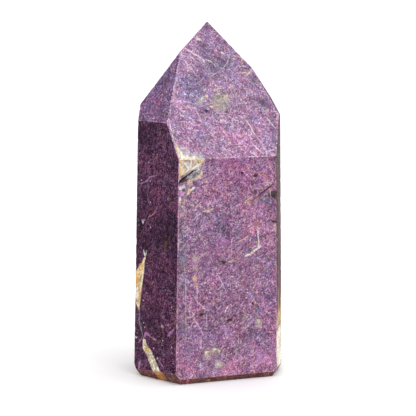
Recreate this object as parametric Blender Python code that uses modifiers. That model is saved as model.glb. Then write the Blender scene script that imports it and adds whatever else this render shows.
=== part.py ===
"""Purpurite point: one stone, sawn and polished to six upright flats that rise to a tip.

Metres, +Z up. The stone stands on its sawn base at Z 0, with the origin in the middle of the base
and the front flat facing -Y. A bearing is the way a facet faces, in degrees from -Y round to +X.
A place on a facet is a slide, to the right of its middle line as seen from outside, and a height.
"""

import math
from typing import NamedTuple

import bmesh
import bpy
from mathutils import Matrix, Vector, noise


class Facet(NamedTuple):
    """A plane of the stone: the way it faces, its lean and how far out it meets the ground."""

    bearing: float
    lean: float
    ground_reach: float

    def outward(self):
        """Unit vector straight out of the facet."""
        turn = math.radians(self.bearing)
        rise = math.radians(self.lean)
        level = math.cos(rise)
        return Vector((math.sin(turn) * level, -math.cos(turn) * level, math.sin(rise)))

    def along(self):
        """Level unit vector in the facet, to the right as seen from outside."""
        turn = math.radians(self.bearing)
        return Vector((math.cos(turn), math.sin(turn), 0.0))

    def at(self, slide, height):
        """Point of the facet at a slide and a height."""
        turn = math.radians(self.bearing)
        reach = self.ground_reach - height * math.tan(math.radians(self.lean))
        out = Vector((math.sin(turn), -math.cos(turn), 0.0)) * reach
        return out + self.along() * slide + Vector((0.0, 0.0, height))


class Side(NamedTuple):
    """One of the six sides: the upright flat, the tip facet above it and the bevelled foot below."""

    bearing: float  # degrees
    reach: float  # from the middle of the base to the flat, at the ground
    taper: float  # degrees that the flat leans in as it rises
    shoulder: float  # height at which the tip facet starts
    tip_lean: float  # degrees of the tip facet from upright
    foot_height: float  # height of the foot's bevel in the middle of the flat
    foot_lean: float  # degrees of the foot's bevel from upright
    foot_turn: float  # degrees that the foot's bevel faces away from the flat's bearing

    def flat(self):
        return Facet(self.bearing, self.taper, self.reach)

    def tip(self):
        drop = math.tan(math.radians(self.tip_lean)) - math.tan(math.radians(self.taper))
        return Facet(self.bearing, self.tip_lean, self.reach + self.shoulder * drop)

    def foot(self):
        widening = math.tan(math.radians(self.taper)) + math.tan(math.radians(self.foot_lean))
        ground_reach = self.reach - self.foot_height * widening
        return Facet(self.bearing + self.foot_turn, -self.foot_lean, ground_reach)


class Pit(NamedTuple):
    """A small hollow where a grain has fallen out of a facet."""

    facet: Facet
    slide: float
    height: float
    length: float
    width: float
    depth: float
    turn: float  # degrees that its length is turned up from level


class Crack(NamedTuple):
    """A narrow open crack in a facet, through points given as slide and height."""

    facet: Facet
    width: float
    depth: float
    points: tuple


# Driving dimensions: the six sides. Bearings run round the stone from the front to the right.
FRONT = Side(0.0, 0.0140, 0.7, 0.0566, 24.5, 0.0015, 29.0, 0.0)
RIGHT = Side(60.0, 0.0196, 0.6, 0.0664, 31.5, 0.0018, 29.0, -3.0)
BACK_RIGHT = Side(117.0, 0.0147, 1.3, 0.0705, 29.5, 0.0020, 31.0, 0.0)
BACK = Side(180.0, 0.0140, 1.0, 0.0755, 30.0, 0.0018, 30.0, 2.0)
BACK_LEFT = Side(-120.0, 0.0168, 1.1, 0.0692, 37.0, 0.0033, 34.0, -3.0)
LEFT = Side(-65.0, 0.0175, 1.3, 0.0653, 27.5, 0.0024, 30.0, 3.0)
SIDES = (FRONT, RIGHT, BACK_RIGHT, BACK, BACK_LEFT, LEFT)

BLOCK_SIZE = 0.120  # the rough block that the stone is sawn from
SAW_TOLERANCE = 1e-7
ARRIS_WIDTH = 0.00025  # how far back from its line an arris is worn round
ARRIS_SEGMENTS = 2

PIT_DETAIL = 2  # subdivisions of the ball that cuts a pit
PIT_LIFT = 0.12  # of the depth, how far the ball's middle stands out of the facet
PIT_LUMPINESS = 0.28
PIT_LUMP_SCALE = 1.6
CRACK_END = 0.25  # width of a crack at its ends, as a share of its full width

# Pits, those of the front and left sides first and then those of the sides that face away.
PITS = (
    Pit(FRONT.flat(), -0.0059, 0.0176, 0.0012, 0.0008, 0.0005, 20.0),
    Pit(FRONT.flat(), 0.0016, 0.0156, 0.0017, 0.0007, 0.0005, 4.0),
    Pit(FRONT.flat(), 0.0080, 0.0195, 0.0011, 0.0009, 0.0005, -35.0),
    Pit(FRONT.flat(), 0.0001, 0.0304, 0.0013, 0.0008, 0.0004, 25.0),
    Pit(FRONT.flat(), 0.0086, 0.0519, 0.0013, 0.0009, 0.0006, 35.0),
    Pit(FRONT.flat(), 0.0050, 0.0526, 0.0009, 0.0007, 0.0005, 70.0),
    Pit(FRONT.flat(), 0.0136, 0.0469, 0.0028, 0.0020, 0.0006, 15.0),
    Pit(FRONT.flat(), 0.0138, 0.0400, 0.0019, 0.0006, 0.0005, -14.0),
    Pit(FRONT.flat(), -0.0079, 0.0524, 0.0030, 0.0013, 0.0005, 30.0),
    Pit(FRONT.tip(), 0.0035, 0.0801, 0.0030, 0.0011, 0.0004, -40.0),
    Pit(FRONT.tip(), -0.0025, 0.0679, 0.0010, 0.0008, 0.0004, 0.0),
    Pit(FRONT.tip(), 0.0119, 0.0670, 0.0012, 0.0007, 0.0004, -60.0),
    Pit(LEFT.flat(), -0.0053, 0.0406, 0.0014, 0.0010, 0.0005, 55.0),
    Pit(LEFT.flat(), 0.0021, 0.0222, 0.0010, 0.0007, 0.0004, 80.0),
    Pit(LEFT.tip(), 0.0012, 0.0719, 0.0011, 0.0007, 0.0004, 35.0),
    Pit(RIGHT.flat(), 0.0012, 0.0302, 0.0013, 0.0008, 0.0005, 75.0),
    Pit(RIGHT.tip(), -0.0014, 0.0721, 0.0010, 0.0008, 0.0004, 10.0),
    Pit(BACK_RIGHT.flat(), 0.0028, 0.0491, 0.0015, 0.0009, 0.0005, -30.0),
    Pit(BACK_RIGHT.flat(), -0.0036, 0.0208, 0.0012, 0.0008, 0.0005, 15.0),
    Pit(BACK_RIGHT.tip(), 0.0009, 0.0768, 0.0010, 0.0007, 0.0004, 50.0),
    Pit(BACK.flat(), -0.0031, 0.0618, 0.0014, 0.0009, 0.0005, 40.0),
    Pit(BACK.flat(), 0.0046, 0.0397, 0.0018, 0.0008, 0.0005, -12.0),
    Pit(BACK.flat(), -0.0057, 0.0124, 0.0013, 0.0010, 0.0006, 65.0),
    Pit(BACK_LEFT.flat(), -0.0041, 0.0552, 0.0012, 0.0008, 0.0005, 22.0),
    Pit(BACK_LEFT.flat(), 0.0036, 0.0174, 0.0015, 0.0010, 0.0005, -48.0),
    Pit(BACK_LEFT.tip(), -0.0022, 0.0749, 0.0012, 0.0007, 0.0004, 30.0),
)

# Cracks, in the same order of sides.
CRACKS = (
    Crack(
        FRONT.flat(), 0.00055, 0.0006,
        (
            (0.0136, 0.0498), (0.0121, 0.0486), (0.0108, 0.0477),
            (0.0097, 0.0470), (0.0087, 0.0461), (0.0073, 0.0453),
        ),
    ),
    Crack(
        FRONT.flat(), 0.00070, 0.0007,
        ((-0.0117, 0.0508), (-0.0112, 0.0512), (-0.0105, 0.0519), (-0.0096, 0.0526)),
    ),
    Crack(
        FRONT.flat(), 0.00060, 0.0006,
        ((-0.0092, 0.0522), (-0.0086, 0.0530), (-0.0080, 0.0536), (-0.0070, 0.0539)),
    ),
    Crack(
        LEFT.flat(), 0.00050, 0.0006,
        ((-0.0013, 0.0435), (-0.0031, 0.0426), (-0.0042, 0.0409), (-0.0056, 0.0385), (-0.0067, 0.0363)),
    ),
    Crack(LEFT.flat(), 0.00060, 0.0006, ((0.0052, 0.0477), (0.0049, 0.0468), (0.0045, 0.0458))),
    Crack(LEFT.flat(), 0.00060, 0.0006, ((0.0047, 0.0374), (0.0038, 0.0358), (0.0028, 0.0341))),
    Crack(
        BACK.flat(), 0.00050, 0.0006,
        ((0.0055, 0.0560), (0.0031, 0.0541), (0.0014, 0.0515), (-0.0012, 0.0502), (-0.0047, 0.0474)),
    ),
    Crack(
        BACK_RIGHT.flat(), 0.00050, 0.0005,
        ((-0.0054, 0.0329), (-0.0030, 0.0352), (-0.0011, 0.0357), (0.0016, 0.0376)),
    ),
    Crack(
        BACK_LEFT.flat(), 0.00055, 0.0006,
        ((0.0061, 0.0439), (0.0034, 0.0412), (0.0022, 0.0381), (0.0003, 0.0362), (-0.0019, 0.0331)),
    ),
)

# Finish: a purple, well polished stone.
STONE_COLOUR = (0.175, 0.078, 0.170, 1.0)
STONE_ROUGHNESS = 0.22


def clear_scene():
    for item in list(bpy.data.objects):
        bpy.data.objects.remove(item, do_unlink=True)


def new_collection(name):
    collection = bpy.data.collections.new(name)
    bpy.context.scene.collection.children.link(collection)
    return collection


def stone_material():
    material = bpy.data.materials.new("polished_purpurite")
    material.use_nodes = True
    shader = material.node_tree.nodes["Principled BSDF"]
    shader.inputs["Base Color"].default_value = STONE_COLOUR
    shader.inputs["Roughness"].default_value = STONE_ROUGHNESS
    shader.inputs["Metallic"].default_value = 0.0
    return material


def saw(block, facet):
    """Take away all that lies beyond a facet's plane and close the cut with one flat face."""
    everything = block.verts[:] + block.edges[:] + block.faces[:]
    bmesh.ops.bisect_plane(
        block,
        geom=everything,
        dist=SAW_TOLERANCE,
        plane_co=facet.at(0.0, 0.0),
        plane_no=facet.outward(),
        clear_outer=True,
    )
    rim = [edge for edge in block.edges if edge.is_boundary]
    bmesh.ops.holes_fill(block, edges=rim, sides=0)


def sawn_stone(collection):
    """The stone with all its facets, before its arrises wear and its pits open."""
    block = bmesh.new()
    on_the_ground = Matrix.Translation((0.0, 0.0, BLOCK_SIZE / 2.0))
    bmesh.ops.create_cube(block, size=BLOCK_SIZE, matrix=on_the_ground)
    for side in SIDES:
        saw(block, side.flat())
        saw(block, side.tip())
        saw(block, side.foot())
    bmesh.ops.recalc_face_normals(block, faces=block.faces[:])

    mesh = bpy.data.meshes.new("purpurite_point")
    block.to_mesh(mesh)
    block.free()
    stone = bpy.data.objects.new("purpurite_point", mesh)
    mesh.materials.append(stone_material())
    collection.objects.link(stone)
    return stone


def facet_frame(facet, origin):
    """Matrix whose X runs level along a facet, Y up its slope and Z straight out of it."""
    along = facet.along()
    outward = facet.outward()
    upslope = outward.cross(along)
    axes = Matrix((along, upslope, outward)).transposed()
    return Matrix.Translation(origin) @ axes.to_4x4()


def add_cutter(name, mesh, collection):
    cutter = bpy.data.objects.new(name, mesh)
    cutter.hide_render = True
    cutter.display_type = "WIRE"
    collection.objects.link(cutter)
    return cutter


def pit_cutter(number, pit, collection):
    """A lumpy ball that lies in the facet, with a little of its upper half outside the stone."""
    ball = bmesh.new()
    bmesh.ops.create_icosphere(ball, subdivisions=PIT_DETAIL, radius=1.0)
    own_lumps = Vector((number, -number, number / 2.0))
    for vertex in ball.verts:
        lump = noise.noise(vertex.co * PIT_LUMP_SCALE + own_lumps)
        vertex.co *= 1.0 + PIT_LUMPINESS * lump
    half_size = Matrix.Diagonal((pit.length / 2.0, pit.width / 2.0, pit.depth, 1.0))
    turned = Matrix.Rotation(math.radians(pit.turn), 4, "Z")
    lifted = Matrix.Translation((0.0, 0.0, PIT_LIFT * pit.depth))
    frame = facet_frame(pit.facet, pit.facet.at(pit.slide, pit.height))
    bmesh.ops.transform(ball, matrix=frame @ lifted @ turned @ half_size, verts=ball.verts[:])

    mesh = bpy.data.meshes.new(f"pit_cutter_{number:02d}")
    ball.to_mesh(mesh)
    ball.free()
    return add_cutter(mesh.name, mesh, collection)


def crack_cutter(number, crack, collection):
    """A square rod that follows the crack on edge, thin at its ends, and so cuts a V groove."""
    name = f"crack_cutter_{number:02d}"
    frame = facet_frame(crack.facet, crack.facet.at(*crack.points[0]))
    to_facet = frame.inverted()
    rod = bpy.data.curves.new(name, "CURVE")
    rod.dimensions = "3D"
    rod.twist_mode = "Z_UP"
    rod.bevel_depth = crack.width / 2.0
    rod.bevel_resolution = 0
    rod.use_fill_caps = True
    spline = rod.splines.new("POLY")
    spline.points.add(len(crack.points) - 1)
    last = len(crack.points) - 1
    for index, (slide, height) in enumerate(crack.points):
        place = to_facet @ crack.facet.at(slide, height)
        spline.points[index].co = (place.x, place.y, 0.0, 1.0)
        from_end = min(index, last - index) / (last / 2.0)
        spline.points[index].radius = CRACK_END + (1.0 - CRACK_END) * from_end
    guide = bpy.data.objects.new(name, rod)
    collection.objects.link(guide)

    evaluated = guide.evaluated_get(bpy.context.evaluated_depsgraph_get())
    mesh = bpy.data.meshes.new_from_object(evaluated)
    bpy.data.objects.remove(guide, do_unlink=True)
    shape = bmesh.new()
    shape.from_mesh(mesh)
    bmesh.ops.remove_doubles(shape, verts=shape.verts[:], dist=SAW_TOLERANCE)
    deepened = Matrix.Diagonal((1.0, 1.0, crack.depth / (crack.width / 2.0), 1.0))
    bmesh.ops.transform(shape, matrix=frame @ deepened, verts=shape.verts[:])
    bmesh.ops.recalc_face_normals(shape, faces=shape.faces[:])
    shape.to_mesh(mesh)
    shape.free()
    return add_cutter(name, mesh, collection)


def wear_arrises(stone):
    bevel = stone.modifiers.new("worn_arrises", "BEVEL")
    bevel.width = ARRIS_WIDTH
    bevel.segments = ARRIS_SEGMENTS
    bevel.limit_method = "NONE"
    bevel.use_clamp_overlap = True


def open_hollows(stone, cutters):
    """Cut every pit and crack out of the stone."""
    for number, pit in enumerate(PITS, start=1):
        pit_cutter(number, pit, cutters)
    for number, crack in enumerate(CRACKS, start=1):
        crack_cutter(number, crack, cutters)
    hollows = stone.modifiers.new("pits_and_cracks", "BOOLEAN")
    hollows.operation = "DIFFERENCE"
    hollows.solver = "EXACT"
    hollows.operand_type = "COLLECTION"
    hollows.collection = cutters


def main():
    clear_scene()
    part = new_collection("purpurite_point")
    cutters = new_collection("cutters")
    stone = sawn_stone(part)
    wear_arrises(stone)
    open_hollows(stone, cutters)


main()
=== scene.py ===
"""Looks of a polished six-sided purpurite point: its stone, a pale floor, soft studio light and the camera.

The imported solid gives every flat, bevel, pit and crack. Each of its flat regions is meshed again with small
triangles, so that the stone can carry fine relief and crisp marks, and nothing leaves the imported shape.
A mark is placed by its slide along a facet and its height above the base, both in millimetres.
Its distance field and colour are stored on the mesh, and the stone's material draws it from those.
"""

import math
from collections import defaultdict
from typing import NamedTuple

import bmesh
import bpy
import numpy as np
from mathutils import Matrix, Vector, noise
from mathutils.geometry import delaunay_2d_cdt
from mathutils.kdtree import KDTree


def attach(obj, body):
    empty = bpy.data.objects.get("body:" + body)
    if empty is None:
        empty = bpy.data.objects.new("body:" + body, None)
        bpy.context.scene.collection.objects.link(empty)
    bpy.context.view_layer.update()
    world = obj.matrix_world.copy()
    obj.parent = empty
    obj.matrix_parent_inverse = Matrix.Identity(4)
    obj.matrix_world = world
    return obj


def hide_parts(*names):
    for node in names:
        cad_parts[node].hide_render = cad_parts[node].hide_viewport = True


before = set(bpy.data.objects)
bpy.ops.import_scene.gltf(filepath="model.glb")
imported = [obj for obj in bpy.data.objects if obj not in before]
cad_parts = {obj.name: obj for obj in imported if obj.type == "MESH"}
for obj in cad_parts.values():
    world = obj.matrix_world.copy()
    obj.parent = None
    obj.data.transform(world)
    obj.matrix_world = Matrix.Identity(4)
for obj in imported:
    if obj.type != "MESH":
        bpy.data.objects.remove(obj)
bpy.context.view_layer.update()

MM = 0.001
NODE = "purpurite_point"

# The smallest length that anything is divided by
TINY = 1e-12

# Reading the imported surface: metres within which corners are one, then millimetres off a plane, the cosine
# within which triangles face the same way, and the doubled area of a sliver, which has no sure direction
WELD = 1e-6
FLATNESS = 0.003
SAME_WAY = 0.999
SLIVER = 1e-4

# Steps of the fine mesh in millimetres, the cosine within which a region faces like a seen facet and gets the
# finer one, and how many steps its inner points keep from a region's rim
EDGE_STEP = 0.34
SEEN_STEP = 0.32
HIDDEN_STEP = 0.42
SEEN_WAY = 0.9
RIM_CLEARANCE = 0.6

# Where each side of the point faces, in degrees from the front towards the right, and how near to that a
# facet has to face, as a cosine; then how far its flat, tip facet and foot bevel face up
BEARINGS = {"front": 0, "right": 60, "back_right": 117, "back": 180, "back_left": -120, "left": -65}
FACING = 0.985
SLANTS = {"": (-0.1, 0.1), "_tip": (0.3, 0.9), "_foot": (-0.9, -0.3)}
SEEN = {"front", "front_tip", "left", "left_tip", "front_foot", "left_foot"}


def paint(red, green, blue):
    """The linear colour of an sRGB one given from 0 to 255."""
    parts = [part / 255 for part in (red, green, blue)]
    return tuple(((part + 0.055) / 1.055) ** 2.4 if part > 0.04 else part / 12.92 for part in parts)


WHITE = paint(228, 222, 224)
CHALK = paint(248, 244, 234)
IVORY = paint(228, 220, 205)
CREAM = paint(205, 195, 178)
SILVER = paint(215, 215, 210)
MIST = paint(180, 178, 190)
STONE_GREY = paint(174, 173, 158)
GREY = paint(130, 128, 130)
SAGE = paint(188, 180, 164)
STEEL = paint(138, 140, 148)
CHARCOAL = paint(56, 50, 52)
STRAW = paint(215, 190, 150)
TAN = paint(180, 130, 85)
OCHRE = paint(203, 158, 75)
OLIVE = paint(90, 73, 50)
UMBER = paint(95, 66, 55)
RUST = paint(128, 86, 88)
PEACH = paint(218, 180, 150)
ROSE = paint(195, 110, 120)
DUSK = paint(172, 132, 132)
PINK = paint(214, 180, 208)
LILAC = paint(196, 172, 200)
ORCHID = paint(175, 120, 170)
PLUM = paint(84, 44, 80)
SLATE = paint(105, 85, 112)
INDIGO = paint(76, 72, 106)
BLUE = paint(80, 92, 150)
TURQUOISE = paint(100, 150, 180)
PALE_BLUE = paint(190, 205, 218)


class Streak(NamedTuple):
    """A thin line of another mineral on a facet, narrower at its ends."""

    colour: tuple
    half_width: float
    strength: float
    path: list


class Patch(NamedTuple):
    """An area of another mineral with a ragged edge; softness is how wide the edge fades."""

    colour: tuple
    softness: float
    strength: float
    outline: list


class Fleck(NamedTuple):
    """A small oval spot: its middle, its width and height, and its turn in degrees."""

    colour: tuple
    strength: float
    middle: tuple
    size: tuple
    turn: float = 0.0


class Cloud(NamedTuple):
    """A soft oval where the stone's own colour is multiplied by a factor."""

    factor: tuple
    middle: tuple
    size: tuple
    turn: float = 0.0


def streaks(colour, half_width, strength, *paths):
    """Streaks of one colour and width."""
    return [Streak(colour, half_width, strength, path) for path in paths]


def flecks(colour, strength, *ovals):
    """Spots of one colour; an oval is (slide, height, width, tall) and, where it leans, its turn."""
    return [Fleck(colour, strength, oval[:2], oval[2:4], *oval[4:]) for oval in ovals]


def clouds(factor, *ovals):
    """Clouds of one factor, with ovals like those of flecks."""
    return [Cloud(factor, oval[:2], oval[2:4], *oval[4:]) for oval in ovals]


def blots(colour, softness, strength, *ovals):
    """Roundish patches of one colour; an oval is (slide, height, width, tall)."""
    angles = [math.radians(45 * step) for step in range(8)]
    rim = [(math.cos(angle) / 2, math.sin(angle) / 2) for angle in angles]
    return [
        Patch(colour, softness, strength, [(slide + width * x, height + tall * y) for x, y in rim])
        for slide, height, width, tall in ovals
    ]


DUSKY = (0.66, 0.62, 0.70)
BLUISH = (0.82, 0.94, 0.98)
PLUMMY = (0.88, 0.74, 0.84)
ROSY = (1.10, 1.02, 1.07)
MISTY = (1.02, 1.20, 1.04)
PALE = (1.15, 1.14, 1.12)
DIM = (0.84, 0.84, 0.80)

TIP_MARKS = [
    Patch(STONE_GREY, 0.8, 0.65,
          [(0, 71.5), (1.5, 72), (3, 72), (4.5, 71), (3.5, 69), (2, 68), (0, 68), (-1, 69.5)]),
    Patch(STONE_GREY, 0.6, 0.6, [(-5, 70.5), (-4, 71), (-2, 71.5), (-2.5, 70.5), (-4, 69.5)]),
    Patch(SLATE, 0.7, 0.35, [(2.5, 81.5), (4, 81.5), (5, 80.5), (4.5, 79), (3.5, 78.5), (2, 79.5)]),
    Patch(SLATE, 0.5, 0.7, [(10.5, 75.5), (11.5, 76), (12.5, 75.5), (12.5, 74.5), (11, 74.5)]),
    Patch(INDIGO, 0.4, 0.7, [(12, 70), (13, 70.5), (13.5, 69.5), (13.5, 68.5), (12, 69)]),
    Patch(MIST, 0.6, 0.9,
          [(-12, 60.5), (-11, 60), (-10, 59.5), (-9, 58.5), (-8.5, 58), (-6, 58), (-5, 57), (-4.5, 56),
           (-12, 56)]),
    Patch(IVORY, 0.25, 1.0,
          [(-12, 60), (-11, 59.5), (-9.5, 58), (-8.5, 57.5), (-6, 57.5), (-5.5, 56), (-12, 56)]),
    *flecks(PALE_BLUE, 0.8, (-3, 71, 1.1, 0.7, 20)),
    *flecks(PEACH, 0.85, (-2, 71.5, 0.9, 0.6, 30), (-1, 69, 1.3, 0.7), (3.5, 71.5, 0.9, 0.6, 30)),
    *flecks(CREAM, 0.65, (-2, 73, 0.9, 0.7), (1, 73, 1.1, 0.7, 20), (-2, 85.5, 1.4, 1)),
    *flecks(CREAM, 0.85, (-2.5, 80.5, 0.9, 0.4, -30), (7, 80.5, 1, 0.4), (-9.5, 67.5, 0.5, 0.6)),
    *flecks(INDIGO, 0.8, (-2.5, 68, 0.8, 1), (15.5, 66, 1.1, 0.9)),
    *flecks(SLATE, 0.75, (-3.5, 67.5, 1, 0.7), (11.5, 67, 0.7, 1.3, -20), (-5.5, 62.5, 0.7, 1.6, -25)),
    *flecks(WHITE, 0.9, (4, 82, 1.2, 0.5, -25), (-7.5, 72, 0.5, 0.4), (-8.5, 68, 0.6, 0.5)),
    *flecks(PINK, 0.7, (2.5, 82.5, 0.8, 0.5), (3.5, 64, 0.5, 0.6)),
    *flecks(IVORY, 0.8, (1, 65.5, 0.7, 0.5), (13.5, 67.5, 0.9, 0.8)),
    # White streaks on the tip facet: painted highlights, glints along its arrises and down its upper part
    *streaks(WHITE, 0.12, 0.85, [(-6, 83.5), (-4.5, 82.5), (-3, 81.5), (-1.5, 80.5), (-1, 79.5)],
             [(-1, 80.5), (0.5, 80), (1.5, 79)], [(13.5, 65.5), (15, 63.5)],
             [(-12.6, 66), (-12.4, 63), (-12, 60.5)]),
    *streaks(PINK, 0.13, 0.7, [(-10.5, 71.5), (-9.5, 70.5), (-8.5, 69.5)], [(-8, 70.5), (-6.5, 70)],
             [(-6.5, 78), (-5.5, 78.5), (-5, 78.5), (-4, 77)], [(-7, 82), (-6.5, 81), (-6, 79.5)],
             [(-1, 67.5), (-1, 65.5)], [(2, 67.5), (3, 66.5), (4, 66)], [(10, 61), (11, 59.5), (11.5, 58)],
             [(14.5, 58.5), (13, 58), (11.5, 57.5)]),
    *streaks(SAGE, 0.12, 0.75, [(7.5, 82.5), (6, 81.5), (5, 79.5), (4, 78.5), (2.5, 77.5)],
             [(1.5, 77), (0.5, 76.5), (-0.5, 76.5)]),
    *streaks(LILAC, 0.17, 0.6, [(-7, 69), (-5.5, 68.5), (-5, 67.5), (-4.5, 66.5), (-4, 64.5)]),
    *streaks(LILAC, 0.11, 0.6, [(0, 64.5), (1, 64), (1.5, 63)], [(-8, 62), (-8.5, 60)],
             [(10, 70.5), (11, 69), (12.5, 68)], [(6.5, 75.5), (8, 74), (9, 73)], [(-1, 77), (1.5, 73.5)],
             [(-2, 76), (-3, 75)], [(0, 68.5), (2, 65)], [(3, 78), (6.5, 73.5)], [(7, 70.5), (9.5, 67.5)],
             [(-6.5, 80.5), (-5.5, 78)], [(-5.5, 61), (-5, 58.5)], [(2.5, 64), (5, 60)]),
    *streaks(IVORY, 0.13, 0.8, [(7.5, 65.5), (8.5, 64), (9, 62.5), (10, 61)],
             [(8.5, 59.5), (9.5, 58.5), (10.5, 57.5)], [(6, 66.5), (7, 66)]),
    *streaks(CREAM, 0.22, 0.9, [(10, 76.5), (10.5, 77), (11.5, 77.5)]),
    *streaks(PEACH, 0.22, 0.9, [(8.5, 77), (9.5, 77)]),
    *streaks(PLUM, 0.18, 0.8, [(9.5, 78), (10.5, 78), (11.5, 78.5)]),
    *streaks(OCHRE, 0.26, 0.85, [(-11.8, 60), (-11.7, 57.5)]),
    # Painted highlight: a lilac line along the arris between the tip facet and the left tip facet
    *streaks(LILAC, 0.18, 0.9, [(-6.6, 83), (-7.7, 80), (-9.2, 76), (-10.7, 72), (-12.2, 68)]),
    *clouds(DUSKY, (-3.5, 76, 7, 6, 30), (1.5, 79.5, 6, 4), (1, 88, 3, 4), (-1, 83.5, 4, 3),
            (12, 75.5, 3.5, 4, -40), (13, 69.5, 4, 3.5), (15, 64, 2, 5), (5, 85, 3, 3, -45),
            (-2.8, 68, 2.5, 2.5)),
    *clouds(PALE, (-9, 72.5, 6, 13, 25), (-8.5, 70, 4, 7, 25), (-4, 82.5, 6, 6, 30)),
    *clouds(BLUISH, (-7, 75, 4, 9, 15), (-5.5, 62.5, 4, 4), (-3, 72, 8, 3), (1.5, 78, 12, 5)),
    *clouds(ROSY, (6, 76, 5, 4), (8, 61, 12, 5), (-7.5, 64, 6, 5), (-10, 69, 3, 5)),
]

HOLLOW_MARKS = [
    Patch(CREAM, 0.4, 0.95,
          [(-12.5, 57.5), (-5.5, 57.5), (-4.8, 56.8), (-5, 56), (-5.8, 55), (-6.5, 54.2), (-9, 53.5),
           (-10.5, 52.5), (-11.5, 51.5), (-12.5, 51.5)]),
    Patch(CHARCOAL, 0.2, 0.9,
          [(-12.2, 50.3), (-11.4, 51.5), (-10.4, 52.2), (-9.2, 53), (-8.4, 53.2), (-8.6, 52.2),
           (-9.5, 51.2), (-10.7, 50.8)]),
    Patch(STEEL, 0.25, 0.95,
          [(-9.2, 51.7), (-8.7, 52.9), (-7.9, 53.6), (-6.6, 54.1), (-5.6, 53.5), (-5.9, 52.2),
           (-7.2, 51.3)]),
    *streaks(OCHRE, 0.42, 0.9, [(-11.4, 54.5), (-11.3, 52.5)]),
    *streaks(WHITE, 0.16, 0.9, [(-10.2, 53), (-9, 54), (-7.5, 54.5), (-5.8, 55.5)],
             [(-10.3, 56), (-9.5, 55), (-8.6, 54)], [(-8.6, 56.5), (-8.2, 55.5), (-8.6, 54.5)],
             [(-11.3, 55.2), (-10.8, 54.6)]),
    *streaks(UMBER, 0.11, 0.7, [(-10.8, 56.4), (-9.9, 56.5), (-9, 56.2)], [(-8, 56.2), (-7.6, 55.4)],
             [(-6.8, 56.2), (-6.3, 55.6)], [(-10.4, 55.3), (-9.6, 54.4)]),
    *streaks(CHARCOAL, 0.14, 0.9, [(-11.2, 52.2), (-9.6, 53.2)], [(-9.3, 52.6), (-8.2, 53.4), (-7.3, 53.8)],
             [(-7.6, 52.4), (-6.8, 53)]),
    *streaks(SILVER, 0.11, 0.9, [(-9.4, 52), (-8.5, 52.7)], [(-8.3, 52.1), (-7.3, 53.1)],
             [(-7.4, 51.7), (-6.4, 52.5)], [(-7.6, 53.5), (-6.5, 53.7)]),
]

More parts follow.
